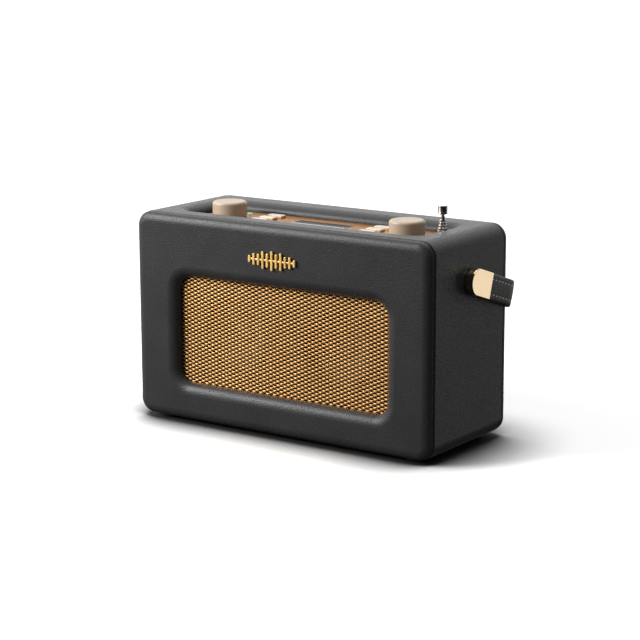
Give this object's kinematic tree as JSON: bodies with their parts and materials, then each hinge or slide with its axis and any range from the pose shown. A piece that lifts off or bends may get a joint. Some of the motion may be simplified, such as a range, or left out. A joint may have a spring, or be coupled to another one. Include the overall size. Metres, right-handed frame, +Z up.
{
  "type": "tabletop radio",
  "caption": "Portable tabletop radio with a leathercloth cabinet, pierced gold grille, recessed top controls, telescopic antenna and a leather strap handle that swings over the top.",
  "frame": {"origin": "middle of the whole radio's footprint, on the surface that its four feet rest on", "axes": "+X to the right seen from the front, +Y to the back, +Z up"},
  "size_m": [0.2642, 0.117, 0.165],
  "materials": {
    "leathercloth": "fine pebble grain, low sheen",
    "wood": "raw board",
    "tan_piping": "matt",
    "gold_mesh": "satin gold",
    "badge_gold": "polished gold",
    "copper_panel": "brushed copper brown",
    "black_plastic": "fine texture",
    "display_glass": "polished",
    "lamp_green": "lit green",
    "beige_knob": "satin",
    "cream_key": "satin",
    "chrome": "polished",
    "brass": "polished pale gold",
    "strap_leather": "fine grain, satin",
    "rubber": "matt",
    "green_board": "solder mask",
    "steel": "plated",
    "paper_cone": "matt",
    "cell_jacket": "printed jacket"
  },
  "bodies": {
    "cabinet": {"cabinet_cover": "leathercloth", "front_panel": "leathercloth", "back_panel": "leathercloth", "cabinet_sleeve": "wood", "speaker_baffle": "wood", "front_piping": "tan_piping", "back_piping": "tan_piping", "grille_mesh": "gold_mesh", "badge": "badge_gold", "control_panel": "copper_panel", "control_tray": "black_plastic", "battery_tray": "black_plastic", "socket_plate": "black_plastic", "socket_block": "black_plastic", "antenna_bush": "black_plastic", "display_window": "display_glass", "status_lamp": "lamp_green", "left_pivot_bush": "brass", "right_pivot_bush": "brass", "front_left_foot": "rubber", "front_right_foot": "rubber", "back_left_foot": "rubber", "back_right_foot": "rubber", "keypad": "rubber", "control_board": "green_board", "main_board": "green_board", "left_speaker_frame": "steel", "right_speaker_frame": "steel", "back_screw_1": "steel", "back_screw_2": "steel", "back_screw_3": "steel", "back_screw_4": "steel", "left_speaker_cone": "paper_cone", "right_speaker_cone": "paper_cone", "battery_cells": "cell_jacket"},
    "handle": {"handle_strap": "strap_leather", "left_handle_bracket": "brass", "right_handle_bracket": "brass", "left_pivot_pin": "steel", "right_pivot_pin": "steel"},
    "volume_control": {"volume_knob": "beige_knob", "volume_shaft": "steel"},
    "tuning_control": {"tuning_knob": "beige_knob", "tuning_shaft": "steel"},
    "left_key_1": {"left_button_1": "cream_key"},
    "left_key_2": {"left_button_2": "cream_key"},
    "left_key_3": {"left_button_3": "cream_key"},
    "left_key_4": {"left_button_4": "cream_key"},
    "right_key_1": {"right_button_1": "cream_key"},
    "right_key_2": {"right_button_2": "cream_key"},
    "right_key_3": {"right_button_3": "cream_key"},
    "right_key_4": {"right_button_4": "cream_key"},
    "antenna_base": {"antenna_sleeve": "chrome"},
    "antenna_stage_1": {"antenna_section_1": "chrome"},
    "antenna_stage_2": {"antenna_section_2": "chrome"},
    "antenna_stage_3": {"antenna_section_3": "chrome"},
    "antenna_stage_4": {"antenna_section_4": "chrome"},
    "antenna_stage_5": {"antenna_section_5": "chrome"},
    "antenna_stage_6": {"antenna_tip": "chrome"},
    "door": {"battery_door": "black_plastic"}
  },
  "joints": [
    {"name": "handle_swing", "type": "hinge", "parent": "cabinet", "child": "handle", "pos_m": [0, -0.00625, 0.1185], "axis": [1, 0, 0], "range_deg": [-3, 220]},
    {"name": "volume_turn", "type": "hinge", "parent": "cabinet", "child": "volume_control", "pos_m": [-0.076, -0.00875, 0.1455], "axis": [0, 0, 1], "continuous": true},
    {"name": "tuning_turn", "type": "hinge", "parent": "cabinet", "child": "tuning_control", "pos_m": [0.076, -0.00875, 0.1455], "axis": [0, 0, 1], "continuous": true},
    {"name": "left_key_1_press", "type": "slide", "parent": "cabinet", "child": "left_key_1", "axis": [0, 0, -1], "range_m": [0, 0.001], "stiffness_N_per_m": 400, "springref_m": -0.0008},
    {"name": "left_key_2_press", "type": "slide", "parent": "cabinet", "child": "left_key_2", "axis": [0, 0, -1], "range_m": [0, 0.001], "stiffness_N_per_m": 400, "springref_m": -0.0008},
    {"name": "left_key_3_press", "type": "slide", "parent": "cabinet", "child": "left_key_3", "axis": [0, 0, -1], "range_m": [0, 0.001], "stiffness_N_per_m": 400, "springref_m": -0.0008},
    {"name": "left_key_4_press", "type": "slide", "parent": "cabinet", "child": "left_key_4", "axis": [0, 0, -1], "range_m": [0, 0.001], "stiffness_N_per_m": 400, "springref_m": -0.0008},
    {"name": "right_key_1_press", "type": "slide", "parent": "cabinet", "child": "right_key_1", "axis": [0, 0, -1], "range_m": [0, 0.001], "stiffness_N_per_m": 400, "springref_m": -0.0008},
    {"name": "right_key_2_press", "type": "slide", "parent": "cabinet", "child": "right_key_2", "axis": [0, 0, -1], "range_m": [0, 0.001], "stiffness_N_per_m": 400, "springref_m": -0.0008},
    {"name": "right_key_3_press", "type": "slide", "parent": "cabinet", "child": "right_key_3", "axis": [0, 0, -1], "range_m": [0, 0.001], "stiffness_N_per_m": 400, "springref_m": -0.0008},
    {"name": "right_key_4_press", "type": "slide", "parent": "cabinet", "child": "right_key_4", "axis": [0, 0, -1], "range_m": [0, 0.001], "stiffness_N_per_m": 400, "springref_m": -0.0008},
    {"name": "antenna_swivel", "type": "hinge", "parent": "cabinet", "child": "antenna_base", "pos_m": [0.0915, 0.01225, 0.1475], "axis": [0, 0, 1], "continuous": true},
    {"name": "antenna_pull_1", "type": "slide", "parent": "antenna_base", "child": "antenna_stage_1", "axis": [0, 0, 1], "range_m": [0, 0.095]},
    {"name": "antenna_pull_2", "type": "slide", "parent": "antenna_stage_1", "child": "antenna_stage_2", "axis": [0, 0, 1], "range_m": [0, 0.095]},
    {"name": "antenna_pull_3", "type": "slide", "parent": "antenna_stage_2", "child": "antenna_stage_3", "axis": [0, 0, 1], "range_m": [0, 0.095]},
    {"name": "antenna_pull_4", "type": "slide", "parent": "antenna_stage_3", "child": "antenna_stage_4", "axis": [0, 0, 1], "range_m": [0, 0.095]},
    {"name": "antenna_pull_5", "type": "slide", "parent": "antenna_stage_4", "child": "antenna_stage_5", "axis": [0, 0, 1], "range_m": [0, 0.095]},
    {"name": "antenna_pull_6", "type": "slide", "parent": "antenna_stage_5", "child": "antenna_stage_6", "axis": [0, 0, 1], "range_m": [0, 0.095]},
    {"name": "battery_door_tilt", "type": "hinge", "parent": "cabinet", "child": "door", "pos_m": [0, 0.04265, 0.017], "axis": [-1, 0, 0], "range_deg": [0, 85]}
  ]
}
